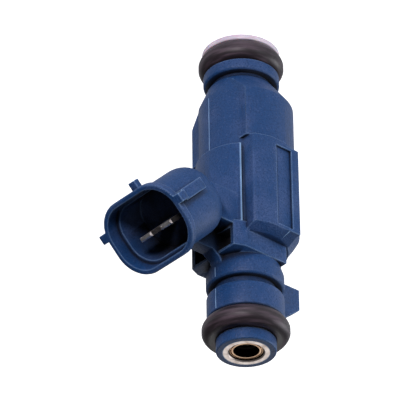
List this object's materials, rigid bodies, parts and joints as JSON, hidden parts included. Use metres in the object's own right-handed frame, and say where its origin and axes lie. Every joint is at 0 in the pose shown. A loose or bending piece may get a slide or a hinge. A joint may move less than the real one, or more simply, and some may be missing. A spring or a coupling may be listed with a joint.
{
  "type": "fuel injector",
  "caption": "Electromagnetic port fuel injector with a slanted two-blade connector, O-rings at both ends and a spring-closed ball valve.",
  "frame": {"origin": "centre of the nozzle-end O-ring, on the injector's axis", "axes": "+Z along the injector's axis to the fuel inlet, +X to the side of the electrical connector"},
  "size_m": [0.0367, 0.0194, 0.0605],
  "materials": {
    "blue_nylon": "fine-grained glass-filled nylon, moulded",
    "seal_rubber": "smooth black fluoro rubber",
    "white_nylon": "smooth white nylon",
    "bright_steel": "turned stainless steel",
    "soft_iron": "plain turned magnetic steel",
    "spring_steel": "drawn spring wire",
    "ball_steel": "lapped hardened steel",
    "filter_brass": "turned brass",
    "terminal_tin": "tin-plated strip",
    "coil_copper": "enamelled copper wire",
    "spool_plastic": "dark glass-filled nylon",
    "coil_film": "amber polyimide film",
    "mesh_fabric": "fine woven nylon gauze"
  },
  "bodies": {
    "injector": {"housing": "blue_nylon", "inlet_collar": "blue_nylon", "upper_o_ring": "seal_rubber", "lower_o_ring": "seal_rubber", "nozzle_cap": "white_nylon", "inlet_tube": "bright_steel", "valve_body": "bright_steel", "spacer_ring": "bright_steel", "valve_seat": "bright_steel", "guide_disc": "bright_steel", "orifice_plate": "bright_steel", "magnet_shell": "soft_iron", "magnet_cover": "soft_iron", "return_spring": "spring_steel", "adjusting_sleeve": "filter_brass", "filter_ring": "filter_brass", "filter_cage": "spool_plastic", "filter_mesh": "mesh_fabric", "coil_spool": "spool_plastic", "coil_winding": "coil_copper", "coil_tape": "coil_film", "terminal_left": "terminal_tin", "terminal_right": "terminal_tin", "lead_left": "coil_copper", "lead_right": "coil_copper"},
    "needle": {"armature": "soft_iron", "valve_needle": "bright_steel", "valve_ball": "ball_steel"}
  },
  "joints": [
    {"name": "needle_lift", "type": "slide", "parent": "injector", "child": "needle", "axis": [0, 0, 1], "range_m": [0, 0.00009], "stiffness_N_per_m": 1000, "springref_m": -0.0005, "deforming": ["return_spring"]}
  ]
}
